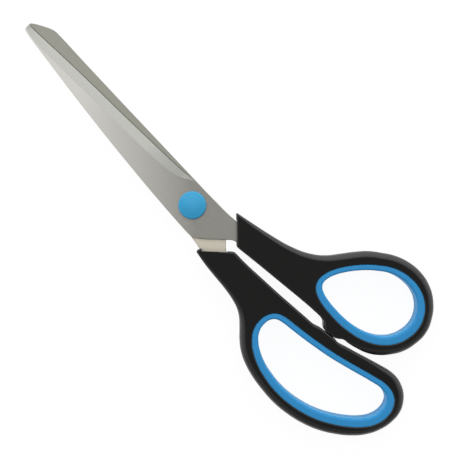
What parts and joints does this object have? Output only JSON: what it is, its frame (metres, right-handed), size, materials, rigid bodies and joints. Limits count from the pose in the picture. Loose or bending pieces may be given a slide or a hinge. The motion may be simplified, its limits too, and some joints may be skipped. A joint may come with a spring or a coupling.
{
  "type": "office scissors",
  "caption": "Right-handed office scissors with flat steel blades, a blue pivot cap and black plastic handles whose thumb and finger bows have soft blue liners.",
  "frame": {"origin": "on the pivot axis, at the flat back of the pivot rivet's head", "axes": "+X along the closed blades to their tips, +Y towards the finger handle, +Z along the pivot axis towards the cap"},
  "size_m": [0.209, 0.0759, 0.011],
  "materials": {
    "blade_steel": "satin, finely ground along the blade",
    "pivot_steel": "satin",
    "cap_plastic": "semi-gloss",
    "handle_plastic": "satin",
    "liner_rubber": "soft matt"
  },
  "bodies": {
    "finger_half": {"lower_blade": "blade_steel", "finger_handle": "handle_plastic", "finger_grip": "liner_rubber", "pivot_rivet": "pivot_steel", "spring_washer": "pivot_steel", "rivet_collar": "pivot_steel", "pivot_cap": "cap_plastic"},
    "thumb_half": {"upper_blade": "blade_steel", "thumb_handle": "handle_plastic", "thumb_grip": "liner_rubber"}
  },
  "joints": [
    {"name": "blade_pivot", "type": "hinge", "parent": "finger_half", "child": "thumb_half", "pos_m": [0, 0, 0.00295], "axis": [0, 0, 1], "range_deg": [0, 100]}
  ]
}
